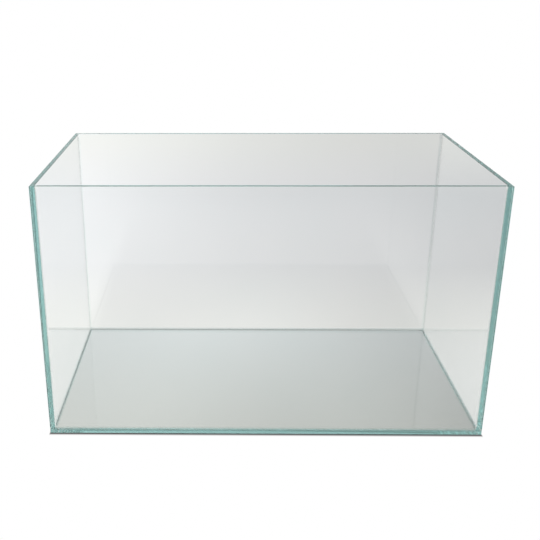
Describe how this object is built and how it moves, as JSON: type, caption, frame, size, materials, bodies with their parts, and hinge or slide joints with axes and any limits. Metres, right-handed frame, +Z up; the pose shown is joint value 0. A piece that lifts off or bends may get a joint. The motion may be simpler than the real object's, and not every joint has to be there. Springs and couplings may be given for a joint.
{
  "type": "aquarium tank",
  "caption": "Rimless open-top rectangular aquarium tank of clear low-iron glass panes, bonded and sealed with clear silicone.",
  "frame": {"origin": "centre of the underside of the base pane, where the tank rests", "axes": "+Z up, +X along the length to the right seen from the front, -Y out of the front pane"},
  "size_m": [0.6, 0.3, 0.36],
  "materials": {
    "low_iron_glass": "clear float glass, ground and polished edges that look pale teal",
    "structural_silicone": "clear cured silicone, seen as a thin grey-green line in the joint",
    "seal_silicone": "clear cured silicone, tooled to a smooth cove"
  },
  "bodies": {
    "root": {"base_pane": "low_iron_glass", "front_pane": "low_iron_glass", "back_pane": "low_iron_glass", "left_pane": "low_iron_glass", "right_pane": "low_iron_glass", "front_base_bond": "structural_silicone", "back_base_bond": "structural_silicone", "left_base_bond": "structural_silicone", "right_base_bond": "structural_silicone", "front_left_bond": "structural_silicone", "front_right_bond": "structural_silicone", "back_left_bond": "structural_silicone", "back_right_bond": "structural_silicone", "front_base_bead": "seal_silicone", "back_base_bead": "seal_silicone", "left_base_bead": "seal_silicone", "right_base_bead": "seal_silicone", "front_left_bead": "seal_silicone", "front_right_bead": "seal_silicone", "back_left_bead": "seal_silicone", "back_right_bead": "seal_silicone"}
  },
  "joints": []
}
